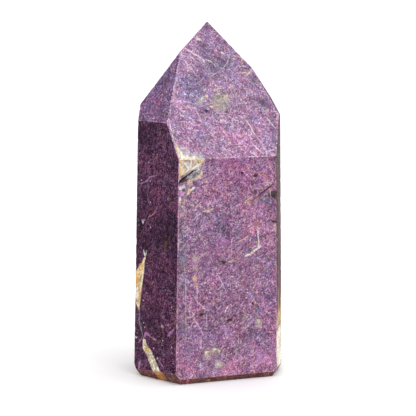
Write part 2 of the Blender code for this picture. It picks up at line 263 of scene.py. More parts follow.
FRONT_MARKS = [
    Patch(CHARCOAL, 0.3, 0.85, [(11.2, 46.5), (12.8, 47.3), (14.6, 48.1), (14.6, 45.9), (13, 46.1)]),
    Patch(SLATE, 0.8, 0.4, [(9, 46.5), (10.5, 47), (12.5, 46), (13.5, 45), (12, 44), (9.5, 44.5)]),
    *blots(SAGE, 0.6, 0.5, (5.6, 16, 1, 2), (-7.4, 32, 1.8, 1.6), (-7.4, 29.5, 1.4, 1.2),
           (-8.4, 51.8, 1.6, 1)),
    *blots(SAGE, 0.6, 0.75, (-4.3, 7.6, 2, 2.2), (-2, 8.2, 2.2, 1.6), (-1.5, 4.6, 2, 1.8),
           (9.5, 14.5, 1.4, 2.2)),
    *blots(PEACH, 0.4, 0.7, (-7.6, 26.8, 1.4, 1.6), (-7.2, 25.4, 1, 1), (-6.3, 27.6, 1, 0.6)),
    *blots(STEEL, 0.8, 0.5, (-10.8, 31, 1.2, 3), (-10.9, 16, 1.2, 4), (-10.6, 44, 1, 2)),
    *blots(OLIVE, 0.2, 1.0, (1.6, 15.7, 1.7, 0.9), (-5.9, 17.6, 1, 1), (8.7, 51.9, 1.3, 0.9)),
    *blots(UMBER, 0.2, 0.9, (5.2, 52.6, 0.6, 0.6), (0, 30.4, 1.2, 1.1), (8, 19.3, 0.7, 0.7)),
    *flecks(UMBER, 0.85, (-10, 56.3, 0.7, 0.5), (-8.8, 56.2, 1, 0.5, -20), (-6.4, 55.6, 0.6, 0.6)),
    *flecks(OCHRE, 0.85, (-11.2, 56, 1.2, 0.7), (-5.9, 55.8, 1, 0.9, -10), (-10.5, 46, 0.6, 0.6)),
    *flecks(TAN, 0.8, (-10.1, 56, 1.1, 0.7), (-8, 55.9, 0.7, 1), (-6.9, 56.2, 0.8, 0.4)),
    *flecks(STRAW, 0.9, (-10.6, 53.8, 1.2, 1.3)),
    *flecks(STONE_GREY, 0.9, (-9.6, 55.2, 0.8, 0.5), (-7.7, 55.5, 0.7, 0.8), (-10.6, 54.3, 0.6, 0.6)),
    *flecks(CHARCOAL, 0.9, (13.3, 47.7, 1.4, 0.6, 20), (12.2, 46.9, 0.8, 0.4), (13.6, 46.2, 1, 0.5)),
    *flecks(OCHRE, 0.75, (8.8, 35, 0.6, 0.6), (8, 33.5, 0.7, 0.5)),
    *flecks(TAN, 0.7, (-7.5, 56.2, 0.6, 0.3), (6.5, 34.5, 0.5, 0.5), (7.5, 32, 0.7, 0.4, 20)),
    *flecks(CREAM, 0.9, (-6.5, 54, 0.4, 0.7, -10)),
    *flecks(PEACH, 0.85, (-5.7, 53, 0.6, 1.1, -15), (-8.7, 50.8, 1.3, 1.6, 30), (-9, 48.6, 1, 1.6, -20)),
    *flecks(PEACH, 0.65, (-4.5, 51, 1.3, 0.7, -30), (-6.5, 49.5, 0.8, 0.4, 10), (12.5, 48, 0.8, 0.6, 30),
            (5.5, 41, 0.7, 0.4, -30), (-5, 25.5, 0.5, 0.6)),
    *flecks(PEACH, 0.7, (8.5, 19.5, 0.6, 0.9)),
    *flecks(WHITE, 0.85, (-11.2, 49.5, 0.8, 1.1)),
    *flecks(SILVER, 0.8, (-10.4, 50, 0.8, 0.8), (-8, 49.3, 1, 0.8, 40), (-11.4, 46.7, 0.7, 2),
            (9.6, 34, 0.8, 0.9), (9.3, 37.7, 0.5, 0.7), (6.7, 31.9, 1.1, 0.6, 20)),
    *flecks(SILVER, 0.9, (-6.9, 52.6, 0.6, 0.5), (-9, 52.3, 0.6, 0.4, 30), (-7.8, 53.3, 0.5, 0.3, 30)),
    *flecks(SILVER, 0.7, (12.7, 49.6, 0.4, 0.8, -30)),
    *flecks(ORCHID, 0.7, (-10.8, 48.2, 1.3, 1.1)),
    *flecks(SLATE, 0.8, (-4.2, 49, 0.4, 1.1, -30), (6.2, 41.5, 0.7, 0.6)),
    *flecks(TURQUOISE, 0.6, (10.9, 45.8, 0.6, 0.8), (12.9, 45, 0.7, 0.6)),
    *flecks(CREAM, 0.55, (-10.6, 44.8, 0.6, 1), (6.7, 45.2, 0.7, 0.5)),
    *flecks(CREAM, 0.8, (-4.6, 7.9, 0.9, 0.8), (-2.6, 8.6, 1.2, 0.6), (-1.2, 7.9, 0.6, 0.9),
            (-1.6, 4.9, 1, 0.8), (-0.9, 4.2, 0.7, 0.7), (9.4, 14.9, 0.8, 0.9)),
    *flecks(IVORY, 0.85, (-8.6, 17.2, 1.4, 0.4, 10), (-8, 17.6, 0.4, 0.7)),
    *flecks(BLUE, 0.7, (-1.8, 37.3, 0.8, 0.7), (-6, 27.5, 0.7, 0.8)),
    *flecks(INDIGO, 0.6, (-11.3, 14, 0.7, 1.1, -30)),
    *streaks(UMBER, 0.19, 0.9, [(13.4, 49.6), (12.5, 48.9), (11.5, 48.2)], [(12.3, 31.5), (13.2, 31)]),
    *streaks(RUST, 0.13, 0.8, [(11.5, 48.2), (10, 47.2)], [(10, 41), (8.5, 40.5), (7.5, 39.5)]),
    *streaks(TAN, 0.15, 0.85, [(10, 47.2), (9.7, 47), (8.7, 46), (7.3, 45.3), (6.2, 44.5)]),
    *streaks(RUST, 0.11, 0.6, [(8.5, 45), (7.5, 44), (6, 43.5)],
             [(5.5, 31.5), (4.5, 31.5), (2, 31), (0.5, 30.5)]),
    *streaks(TAN, 0.13, 0.75, [(10, 40), (8.5, 39), (7, 38)], [(9, 52), (11, 52), (11.5, 51.5), (12, 51)]),
    *streaks(PEACH, 0.18, 0.75, [(7.5, 46.5), (6.5, 46), (5.5, 45)], [(7, 37), (5.5, 36), (4, 35.5)]),
    *streaks(SILVER, 0.16, 0.75, [(9.2, 38.5), (9.3, 36.5), (9.5, 35), (9.4, 33.5)],
             [(12.7, 47.5), (12.9, 46.5)]),
    *streaks(SILVER, 0.28, 0.85, [(9.6, 33.6), (8.4, 33), (7.2, 32.2), (6, 31.7)]),
    *streaks(SAGE, 0.14, 0.6, [(-10.5, 30.5), (-10, 28), (-10, 23), (-10, 16), (-10, 10.5)]),
    *streaks(PINK, 0.11, 0.75, [(-8.5, 23.5), (-7, 21), (-4.5, 18.5)],
             [(-8, 17), (-6.5, 14.5), (-5.5, 12.5)], [(-4.5, 18), (-4.5, 14)], [(-6, 11.5), (-6, 9)],
             [(-7, 24), (-7, 20.5)], [(-10, 27), (-8, 25)], [(7, 14), (4, 12)], [(-2.5, 47.5), (-2, 46)],
             [(-6, 37), (-5, 35.5)], [(-1.5, 27.5), (0.5, 23.5)], [(8, 20.5), (7, 19)]),
    *streaks(PEACH, 0.32, 0.85, [(-8, 51.5), (-6.5, 52), (-5.5, 52)], [(-5, 43.5), (-4, 43.5), (-3, 44)]),
    *streaks(GREY, 0.42, 0.85, [(-8.5, 50.5), (-9.5, 49.5), (-9.8, 48), (-10.5, 46.5)]),
    *streaks(CHARCOAL, 0.28, 0.95, [(12.5, 40.5), (13.5, 40), (14.5, 39.7)]),
    *streaks(WHITE, 0.22, 0.8, [(1, 19), (0.5, 18)]),
    *streaks(ORCHID, 0.30, 0.6, [(9, 8.5), (9.5, 3.5)], [(10, 8), (10.5, 4)], [(-7, 12.5), (-6.5, 9.5)]),
    *streaks(PEACH, 0.14, 0.85, [(1, 30.5), (2, 30.5), (2.5, 31), (3.5, 31.5)]),
    # Painted highlight: a pink line along the arris with the left side
    *streaks(PINK, 0.14, 0.8, [(-11.7, 45), (-11.8, 39), (-11.9, 33)]),
    *clouds(PLUMMY, (0.5, 55.5, 10, 4), (4.5, 50, 9, 6, 20)),
    *clouds(BLUISH, (9, 53.5, 5, 3), (-0.5, 39, 9, 10, 30), (12, 22, 4, 12), (-9, 10, 5, 6),
            (-1.5, 12.5, 8, 5), (-10.5, 25, 3, 30)),
    *clouds(DUSKY, (-1, 31, 2.4, 2.4), (0, 39, 4, 6, 30), (13, 44, 3, 4), (-11.5, 31.5, 2, 4),
            (-11.5, 15, 2.4, 5), (-11.5, 40, 1.6, 3)),
    *clouds(MISTY, (-7.6, 45.5, 7, 7), (-10.8, 35, 2, 20), (-3, 7, 6, 5)),
    *clouds(ROSY, (11, 5.5, 7, 7), (-4.5, 27.5, 8, 6)),
    *clouds(PALE, (0, 4.5, 24, 7), (0, 3, 24, 4), (-7, 45, 5, 5), (-9, 5, 4, 4), (9.5, 4, 4, 4),
            (-4, 8, 3, 3), (-10.5, 22, 2, 4), (-10.5, 36, 1.6, 3)),
    *clouds(DIM, (-11.5, 28, 4, 44), (-2, 16, 6, 4, 20), (5, 11, 5, 4, -20), (3, 7, 4, 3)),
]

LEFT_MARKS = [
    Patch(STRAW, 0.2, 1.0,
          [(-4.5, 31.5), (-4.5, 30.5), (-5, 28), (-5.5, 24), (-6, 21), (-6.5, 17), (-7, 17.5), (-8, 19.5),
           (-8.5, 22), (-8.7, 26), (-8, 27), (-6, 29)]),
    Patch(CREAM, 0.2, 1.0,
          [(-5, 10), (-4, 10), (-3.5, 8.5), (-2, 7.5), (0, 5), (1.5, 2.5), (2, 1.5), (-0.5, 1), (-2, 3.5),
           (-3.5, 6), (-5, 7.5)]),
    *flecks(WHITE, 0.9, (-5.5, 40, 0.6, 1, 10), (-7.4, 21.5, 0.9, 3.9, 5), (-7.1, 18.7, 0.7, 1.3)),
    *flecks(WHITE, 0.95, (0.5, 6, 0.7, 0.5), (-7.5, 10, 0.7, 0.4)),
    *flecks(DUSK, 0.8, (-5, 40.5, 0.7, 0.5), (2.2, 14.2, 1, 1.1, 35)),
    *flecks(DUSK, 0.6, (-3.8, 22, 0.6, 0.5), (-3.6, 29.7, 0.5, 0.5)),
    *flecks(OCHRE, 0.9, (-7.7, 25, 1.5, 3.1), (-6.2, 28.7, 1.1, 1.1, -30), (-3.4, 7.6, 1.5, 1.7, 25)),
    *flecks(CHARCOAL, 0.8, (-7.8, 20, 0.5, 0.4), (-7.4, 19.4, 0.5, 0.4), (-2.3, 6.4, 0.5, 0.5)),
    *flecks(UMBER, 0.8, (-4, 8.4, 1, 0.4)),
    *flecks(IVORY, 0.9, (0.4, 3.1, 1.2, 1.5, 20)),
    *flecks(ORCHID, 0.6, (4.2, 15, 0.7, 0.6)),
    *streaks(ORCHID, 0.22, 0.75, [(-6.5, 49.5), (-5, 50), (-4, 50.5), (-3, 51.5), (-1, 52)],
             [(-6.5, 9), (-5.5, 10)], [(0.5, 5.5), (1.5, 5), (2.5, 4)]),
    *streaks(ORCHID, 0.38, 0.8, [(-4.5, 10.5), (-4, 11.5), (-3, 11.5), (-2, 11)],
             [(4.5, 12.5), (5, 13), (6, 14)], [(-6, 4), (-6.5, 2)]),
    *streaks(OLIVE, 0.36, 0.9, [(4.5, 37.5), (4, 36), (3, 35), (2.5, 33.5)]),
    *streaks(OLIVE, 0.20, 0.75, [(5, 48), (4.5, 46)], [(7, 13.5), (6, 11.5), (4.5, 9)],
             [(-2.5, 43), (-4, 41), (-5, 39.5), (-5.5, 38), (-6.5, 36.5)]),
    *streaks(DUSK, 0.16, 0.75, [(-3, 41.5), (-2, 42), (-1, 43)], [(-2, 24.5), (-1.5, 25)]),
    *streaks(DUSK, 0.34, 0.9, [(-1.5, 11), (-0.5, 10.5)]),
    *streaks(WHITE, 0.20, 0.85, [(-5, 32.5), (-4.5, 31)]),
    *streaks(SAGE, 0.20, 0.85, [(-4, 32.5), (-4.5, 31)]),
    *streaks(IVORY, 0.22, 0.9, [(-5, 30), (-5, 28), (-5.5, 25), (-6, 23)]),
    *streaks(OCHRE, 0.26, 0.9, [(-6.5, 22), (-6.5, 20.5), (-6.5, 18)]),
    *streaks(GREY, 0.24, 0.9, [(-6.5, 17.5), (-6.5, 16), (-6.5, 14.5), (-6, 13), (-5.5, 12), (-5, 10.5)]),
    *clouds(DUSKY, (-5, 61, 8, 6), (4.5, 38.5, 4, 9), (-5.5, 37, 4, 12), (-2.5, 15, 6, 6), (1, 38, 9, 12),
            (6, 30, 3, 12)),
    *clouds(PALE, (1, 56, 10, 10)),
    *clouds(ROSY, (1.5, 47, 7, 7, -20), (3.5, 55, 4, 6), (1, 28, 6, 8), (-2, 6, 5, 6)),
]

SIDE_MARKS = {
    "left_tip": [
        *flecks(PEACH, 0.6, (-2.5, 71.8, 0.9, 0.6), (-2, 70.6, 0.5, 0.5), (-2.4, 66, 0.7, 0.4)),
        *clouds(BLUISH, (-4.5, 75, 5, 6)),
        *clouds(DUSKY, (-3, 76, 4, 5)),
        *clouds(ROSY, (-4.5, 70, 6, 4)),
    ],
    "right": [
        Patch(STRAW, 1.1, 0.8,
              [(-5.5, 15.5), (-4.5, 16), (-3, 15.5), (-2, 17), (-1.5, 21.5), (-1, 17), (1, 16), (2.5, 18),
               (3, 24), (3.5, 19), (5, 20.5), (5, 13.5), (2.5, 12), (-1, 13), (-3, 12), (-5.5, 12.5)]),
        Patch(CHALK, 0.9, 1.0,
              [(-5.5, 12.5), (-3, 11.5), (-1, 12.5), (2.5, 12), (5, 13.5), (5, -2), (-2.5, -2), (-3, 2),
               (-5.5, 4)]),
        Patch(UMBER, 0.8, 0.6, [(-5.5, 63), (-3, 62), (-2.5, 40), (-3, 24), (-5.5, 22)]),
        *blots(PLUM, 0.5, 0.6, (-3.6, 6, 1, 2.4), (1.5, 3, 1.2, 1.6), (-1.5, 14, 1, 1.2)),
        *streaks(UMBER, 0.28, 0.8, [(-0.5, 62), (-1, 50), (-0.5, 38), (-1, 24)],
                 [(2.5, 55), (2, 42), (2.5, 30)]),
        *streaks(DUSK, 0.20, 0.6, [(1, 60), (1, 44), (0.5, 30)]),
        *streaks(GREY, 0.16, 0.8, [(-3, 12), (-2, 9), (-2.5, 5), (-1.5, 2)], [(2, 13), (2.5, 8), (1, 4)]),
        *streaks(OCHRE, 0.22, 0.8, [(-1, 16), (0.5, 13.5), (0, 11)], [(3.5, 10), (3, 6)]),
        *streaks(PLUM, 0.20, 0.7, [(-4, 8), (-3.5, 4)], [(0.5, 9), (0, 6)]),
    ],
    "back_right": [
        Patch(CHALK, 0.9, 1.0,
              [(-15, 17), (-14.5, 15), (-13.5, 13.5), (-13, 10.5), (-11.5, 9.5), (-12.5, 7.5), (-11, 6.5),
               (-8.5, 6), (-11.5, 4.5), (-12.5, 2), (-14, 1), (-15, 1)]),
        Patch(STRAW, 0.9, 0.8,
              [(-15, 22), (-14.5, 18.5), (-13, 15.5), (-12, 11.5), (-10, 9.5), (-12.5, 9), (-13.5, 13),
               (-15, 16)]),
        *streaks(GREY, 0.16, 0.8, [(-13, 10), (-12, 7), (-12.5, 4)]),
    ],
    "back_left": [
        Patch(STRAW, 0.2, 1.0, [(10, 27), (8.5, 25.5), (7, 21), (6.5, 17), (8, 16.5), (10, 19)]),
        Patch(CREAM, 0.2, 1.0, [(7, 20), (7.6, 16.5), (6.5, 12), (4, 8.5), (5.5, 14)]),
    ],
    "front_foot": [
        *flecks(OCHRE, 0.8, (-4, 0.5, 0.9, 0.5)),
        *streaks(ROSE, 0.30, 0.9, [(-9.5, 1.5), (-9.5, 0)]),
    ],
    "left_foot": [
        Patch(TAN, 0.2, 1.0, [(-1, 2.5), (1.5, 3), (2.5, 2), (2.5, 0.5), (0, -0.5), (-0.5, 1)]),
        *flecks(OCHRE, 0.8, (0.2, 1.8, 1.5, 0.8)),
        *streaks(TAN, 0.20, 0.7, [(4, 1), (4.5, 0.5)]),
    ],
}

# The marks that the photograph shows, and a few round the edges that it hides
HAND_MARKS = {
    "front_tip": TIP_MARKS,
    "front": HOLLOW_MARKS + FRONT_MARKS,
    "left": LEFT_MARKS,
    **SIDE_MARKS,
}

# How many streaks, spots, patches and clouds a hidden facet gets at random, for every 100 square millimetres
HIDDEN_MIX = (1.8, 2.0, 0.35, 1.0)
SEED = 29

# What the draw picks from
HIDDEN_STREAKS = (PINK, LILAC, PEACH, SAGE, RUST, SILVER, IVORY, PINK, LILAC)
HIDDEN_SPOTS = (PEACH, CREAM, SLATE, OCHRE, IVORY, INDIGO, SILVER, PINK, UMBER, WHITE)
HIDDEN_PATCHES = (STONE_GREY, SLATE, CREAM, MIST)
HIDDEN_CLOUDS = (DUSKY, BLUISH, PLUMMY, ROSY, MISTY)


class Facet:
    """One flat of the stone, with its own slide and rise in millimetres."""

    def __init__(self, name, bearing, normal, reach):
        self.name = name
        self.normal = normal
        self.reach = reach
        turn = math.radians(bearing)
        self.along = np.array((math.cos(turn), math.sin(turn), 0.0))
        self.up = np.cross(normal, self.along)
        if self.up[2] < 0:
            self.up = -self.up
        self.upright = max(self.up[2], 0.2)

    def flatten(self, points):
        """Slide and rise of points on the facet; rise is measured up the slope."""
        return np.stack((points @ self.along, points @ self.up), axis=1)

    def place(self, spot):
        """Slide and rise of a mark's slide and height above the base."""
        slide, height = spot
        foot = self.normal * self.reach
        on_facet = foot + self.up * ((height - foot[2]) / self.upright)
        return np.array((slide, on_facet @ self.up))


def edges_of(corners):
    """The three edges of a triangle, each with its lower index first."""
    pairs = zip(corners, corners[1:] + corners[:1])
    return [(min(pair), max(pair)) for pair in pairs]


def inside(places, edges):
    """Which places lie inside the closed outlines that the edges make."""
    within = np.zeros(len(places), bool)
    across, up = places[:, 0], places[:, 1]
    for (x0, y0), (x1, y1) in edges:
        if y0 != y1:
            straddles = (y0 > up) != (y1 > up)
            within ^= straddles & (across < x0 + (up - y0) * (x1 - x0) / (y1 - y0))
    return within


class Region(NamedTuple):
    """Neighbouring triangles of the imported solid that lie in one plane."""

    normal: np.ndarray
    reach: float
    area: float
    rim: list


def packed_surface(node):
    """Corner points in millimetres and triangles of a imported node, with doubled corners joined."""
    source = bmesh.new()
    source.from_mesh(node.data)
    bmesh.ops.remove_doubles(source, verts=source.verts, dist=WELD)
    points = np.array([tuple(corner.co) for corner in source.verts]) / MM
    triangles = [tuple(corner.index for corner in face.verts) for face in source.faces]
    source.free()
    return points, triangles


def flat_regions(points, triangles):
    """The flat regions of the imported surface, largest triangle first, each with the edges round it."""
    owners = defaultdict(list)
    for index, corners in enumerate(triangles):
        for edge in edges_of(corners):
            owners[edge].append(index)
    corner = points[np.array(triangles)]
    cross = np.cross(corner[:, 1] - corner[:, 0], corner[:, 2] - corner[:, 0])
    size = np.linalg.norm(cross, axis=1)
    normals = cross / np.maximum(size, TINY)[:, None]
    region_of = np.full(len(triangles), -1)
    groups = []
    for seed in np.argsort(-size):
        if region_of[seed] >= 0:
            continue
        normal = normals[seed]
        reach = normal @ corner[seed, 0]
        level = np.abs(corner @ normal - reach).max(axis=1) < FLATNESS
        level &= (normals @ normal > SAME_WAY) | (size < SLIVER)
        region_of[seed] = len(groups)
        members = [seed]
        for current in members:
            for edge in edges_of(triangles[current]):
                for other in owners[edge]:
                    if region_of[other] < 0 and level[other]:
                        region_of[other] = len(groups)
                        members.append(other)
        groups.append((normal, reach, size[members].sum() / 2, members))
    regions = []
    for number, (normal, reach, area, members) in enumerate(groups):
        rim = [edge for member in members for edge in edges_of(triangles[member])
               if any(region_of[owner] != number for owner in owners[edge])]
        regions.append(Region(normal, reach, area, rim))
    return regions


def name_facets(regions):
    """The six sides, six tip facets and six foot bevels, found among the regions, and the base."""
    facets = []
    for side, bearing in BEARINGS.items():
        turn = math.radians(bearing)
        outward = np.array((math.sin(turn), -math.cos(turn)))
        for suffix, (lowest, highest) in SLANTS.items():
            facing = [region for region in regions
                      if lowest < region.normal[2] < highest
                      and region.normal[:2] @ outward > FACING * np.linalg.norm(region.normal[:2])]
            chosen = max(facing, key=lambda region: region.area)
            facets.append(Facet(side + suffix, bearing, chosen.normal, chosen.reach))
    base = max((region for region in regions if region.normal[2] < -FACING), key=lambda region: region.area)
    facets.append(Facet("base", 0, base.normal, base.reach))
    return facets


class FineMesh:
    """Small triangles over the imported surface's regions, which share the points on their edges."""

    def __init__(self, points):
        self.points = [np.array(point) for point in points]
        self.triangles = []
        self.splits = {}

    def split(self, edge):
        """The points along an edge, in order, made once and shared by both regions."""
        if edge not in self.splits:
            start, end = (self.points[index] for index in edge)
            pieces = max(1, round(np.linalg.norm(end - start) / EDGE_STEP))
            first = len(self.points)
            self.points += [start + (end - start) * (step / pieces) for step in range(1, pieces)]
            self.splits[edge] = [edge[0], *range(first, len(self.points)), edge[1]]
        return self.splits[edge]

    def fill(self, region, step):
        """Triangles over one region, with a lattice of points inside it."""
        normal = region.normal
        across = np.cross(normal, (0, 0, 1) if abs(normal[2]) < 0.9 else (0, 1, 0))
        across /= np.linalg.norm(across)
        upward = np.cross(normal, across)
        chains = [self.split(edge) for edge in region.rim]
        indices = sorted({index for chain in chains for index in chain})
        slot_of = {index: slot for slot, index in enumerate(indices)}
        corners = np.array([self.points[index] for index in indices])
        flat = np.stack((corners @ across, corners @ upward), axis=1)
        outline = [(flat[slot_of[a]], flat[slot_of[b]]) for a, b in region.rim]
        lattice = self.lattice(flat, outline, step)
        origin = normal * region.reach
        for place in lattice:
            indices.append(len(self.points))
            self.points.append(origin + across * place[0] + upward * place[1])
        places = np.concatenate((flat, lattice))
        walls = [(slot_of[a], slot_of[b]) for chain in chains for a, b in zip(chain, chain[1:])]
        spots = [Vector(place) for place in places]
        only_within_walls, tolerance = 1, 1e-7
        _, _, faces, origins, _, _ = delaunay_2d_cdt(spots, walls, [], only_within_walls, tolerance)
        corners = np.array([[origins[corner][0] for corner in face] for face in faces], int).reshape(-1, 3)
        corners = corners[inside(places[corners].mean(axis=1), outline)]
        self.triangles += [tuple(indices[slot] for slot in triangle) for triangle in corners]

    @staticmethod
    def lattice(flat, outline, step):
        """Points of a triangular lattice inside the outline and clear of its own points."""
        if np.ptp(flat, axis=0).min() < step:
            return np.empty((0, 2))
        (left, low), (right, high) = flat.min(axis=0), flat.max(axis=0)
        row = step * math.sqrt(3) / 2
        places = [(left + step * (column + 0.5 * (line % 2)), low + row * line)
                  for line in range(int((high - low) / row) + 1)
                  for column in range(int((right - left) / step) + 1)]
        places = np.array(places)
        places = places[inside(places, outline)]
        rim = KDTree(len(flat))
        for index, place in enumerate(flat):
            rim.insert((*place, 0), index)
        rim.balance()
        clear = [rim.find((*place, 0))[2] > RIM_CLEARANCE * step for place in places]
        return places[np.array(clear, bool)]


def nearest_facets(facets, points):
    """For each point its facet, how deep it lies below it, and its distance from the nearest arris."""
    normals = np.array([facet.normal for facet in facets])
    heights = points @ normals.T - np.array([facet.reach for facet in facets])
    own = heights.argmax(axis=1)
    top = heights.max(axis=1)
    cosines = (normals @ normals.T)[own]
    sines = np.sqrt(np.maximum(1 - cosines ** 2, 0))
    gaps = np.where(sines > 0.1, (top[:, None] * cosines - heights) / np.maximum(sines, 0.1), np.inf)
    return own, -top, np.maximum(gaps.min(axis=1), 0)


def segment_distance(places, start, end):
    """Distance from a segment, signed distance from its line, and how far along it, from 0 to 1."""
    run = end - start
    length = max(np.linalg.norm(run), TINY)
    direction = run / length
    offset = places - start
    along = np.clip(offset @ direction / length, 0, 1)
    reach = np.linalg.norm(offset - np.outer(along * length, direction), axis=1)
    side = offset @ np.array((-direction[1], direction[0]))
    return reach, side, along


class MarkFields:
    """Distance fields and colours of the marks at each point of the fine mesh, in millimetres."""

    FAR = 9.0
    RIM_DEPTH = 0.05
    END_WIDTH = 0.35

    def __init__(self, facets, points, own):
        self.places = {}
        for number, facet in enumerate(facets):
            on_rim = points @ facet.normal - facet.reach > -self.RIM_DEPTH
            near = np.flatnonzero(on_rim | (own == number))
            self.places[facet.name] = (facet, near, facet.flatten(points[near]))
        count = len(points)
        self.values = {name: np.full(count, -self.FAR) for name in ("patch", "fleck")}
        self.values["streak_side"] = np.full(count, self.FAR)
        self.values["streak_reach"] = np.full(count, self.FAR)
        self.values["streak_width"] = np.full(count, 0.1)
        self.colours = {name: np.zeros((count, 4)) for name in ("patch", "fleck", "streak")}
        self.tone = np.ones((count, 4))

    def add(self, facet_name, mark):
        """Lays one mark on a facet."""
        layers = {
            Patch: self.add_patch, Fleck: self.add_fleck, Streak: self.add_streak, Cloud: self.add_cloud,
        }
        layers[type(mark)](mark, *self.places[facet_name])

    def keep(self, layer, chosen, mark, **values):
        """Stores a mark's colour, strength and distances at the points that it is closest to."""
        self.colours[layer][chosen] = (*mark.colour, mark.strength)
        for name, value in values.items():
            self.values[name][chosen] = value

    def add_patch(self, patch, facet, near, places):
        corners = [facet.place(spot) for spot in patch.outline]
        edges = list(zip(corners, corners[1:] + corners[:1]))
        reach = np.min([segment_distance(places, *edge)[0] for edge in edges], axis=0)
        depth = np.where(inside(places, edges), reach, -reach) / patch.softness
        closer = depth > self.values["patch"][near]
        self.keep("patch", near[closer], patch, patch=depth[closer])

    def add_streak(self, streak, facet, near, places):
        path = [facet.place(spot) for spot in streak.path]
        last = len(path) - 1
        for number in range(last):
            reach, side, along = segment_distance(places, path[number], path[number + 1])
            closer = reach < self.values["streak_reach"][near]
            swell = np.sqrt(np.sin(math.pi * np.clip((number + along[closer]) / last, 0, 1)))
            width = streak.half_width * (self.END_WIDTH + (1 - self.END_WIDTH) * swell)
            self.keep("streak", near[closer], streak, streak_reach=reach[closer], streak_side=side[closer],
                      streak_width=width)

    @staticmethod
    def spread(oval, facet, places):
        """How far places lie from the middle of an oval, where its rim is at 1."""
        turn = math.radians(oval.turn)
        offset = places - facet.place(oval.middle)
        across = (offset[:, 0] * math.cos(turn) + offset[:, 1] * math.sin(turn)) / (oval.size[0] / 2)
        upward = (offset[:, 1] * math.cos(turn) - offset[:, 0] * math.sin(turn)) / (oval.size[1] / 2)
        return np.hypot(across, upward)

    def add_fleck(self, fleck, facet, near, places):
        depth = (1 - self.spread(fleck, facet, places)) * min(fleck.size) / 2
        closer = depth > self.values["fleck"][near]
        self.keep("fleck", near[closer], fleck, fleck=depth[closer])

    def add_cloud(self, cloud, facet, near, places):
        share = np.exp(-self.spread(cloud, facet, places) ** 2)[:, None]
        self.tone[near, :3] *= 1 + share * (np.array(cloud.factor) - 1)


def scattered(facet, places, draw, streak_count, spot_count, patch_count, cloud_count):
    """Marks for a facet that the photograph hides, in the same mix as on the front."""

    def any_place():
        slide, rise = places[draw.integers(len(places))]
        base = facet.place((0, 0))[1]
        return slide, (rise - base) * facet.upright

    def any_of(choices):
        return choices[draw.integers(len(choices))]

    made = []
    for _ in range(streak_count):
        slide, height = any_place()
        heading = math.radians(draw.uniform(-150, -20))
        stride = draw.uniform(0.5, 1.5)
        path = [(slide, height)]
        for _ in range(draw.integers(2, 5)):
            heading += draw.normal(0, 0.35)
            slide += stride * math.cos(heading)
            height += stride * math.sin(heading) * facet.upright
            path.append((slide, height))
        made.append(Streak(any_of(HIDDEN_STREAKS), draw.uniform(0.1, 0.17), draw.uniform(0.5, 0.85), path))
    for _ in range(spot_count):
        size = (draw.uniform(0.5, 1.4), draw.uniform(0.4, 1.1))
        colour, strength = any_of(HIDDEN_SPOTS), draw.uniform(0.5, 0.85)
        made.append(Fleck(colour, strength, any_place(), size, draw.uniform(-40, 40)))
    for _ in range(patch_count):
        slide, height = any_place()
        radius, lean, stretch = draw.uniform(0.5, 1.2), draw.uniform(0, math.pi), draw.uniform(0.5, 2.5)
        outline = []
        for step in range(12):
            angle = math.radians(30 * step)
            reach = radius * draw.uniform(0.4, 1.1) * (1 + stretch * math.cos(angle - lean) ** 2)
            rise = reach * math.sin(angle) * facet.upright
            outline.append((slide + reach * math.cos(angle), height + rise))
        made.append(Patch(any_of(HIDDEN_PATCHES), 0.4, draw.uniform(0.35, 0.65), outline))
    for _ in range(cloud_count):
        factor = any_of(HIDDEN_CLOUDS)
        size = (draw.uniform(3, 8), draw.uniform(3, 10))
        made.append(Cloud(factor, any_place(), size, draw.uniform(-40, 40)))
    return made


def fine_surface(node):
    """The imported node's facets, and its surface as points in millimetres and small triangles."""
    points, triangles = packed_surface(node)
    regions = flat_regions(points, triangles)
    facets = name_facets(regions)
    seen = [facet.normal for facet in facets if facet.name in SEEN]
    surface = FineMesh(points)
    for region in regions:
        shown = any(region.normal @ normal > SEEN_WAY for normal in seen)
        surface.fill(region, SEEN_STEP if shown else HIDDEN_STEP)
    corners = np.array(surface.triangles)
    used, corners = np.unique(corners, return_inverse=True)
    return facets, np.array(surface.points)[used], corners.reshape(-1, 3)


def lay_marks(facets, points, own):
    """The fields of every mark, placed one by one on the seen facets and at random on the hidden ones."""
    fields = MarkFields(facets, points, own)
    for name, marks in HAND_MARKS.items():
        for mark in marks:
            fields.add(name, mark)
    draw = np.random.default_rng(SEED)
    for number, facet in enumerate(facets):
        places = facet.flatten(points[own == number])
        area = len(places) * HIDDEN_STEP ** 2 * math.sqrt(3) / 2
        counts = [round(share * area / 100) for share in HIDDEN_MIX]
        if len(places) and facet.name not in SEEN:
            for mark in scattered(facet, places, draw, *counts):
                fields.add(facet.name, mark)
    return fields


def smooth_step(low, high, value):
    """0 below low, 1 above high, and a smooth curve between."""
    share = np.clip((value - low) / (high - low), 0, 1)
    return share * share * (3 - 2 * share)


def noise_at(points, size, seed):
    """Smooth noise from about -1 to 1 with features of one size, at every point."""
    shift = np.array((seed * 13.7, seed * 5.1, seed * 9.3))
    return np.array([noise.noise(Vector(place)) for place in points / size + shift])


# Depths of the fine relief in millimetres
SWELL_DEPTH = 0.012
GRAIN_DEPTH = 0.010
PATCH_DEPTH = 0.05
VEIN_DEPTH = 0.03
CHIP_DEPTH = 0.11


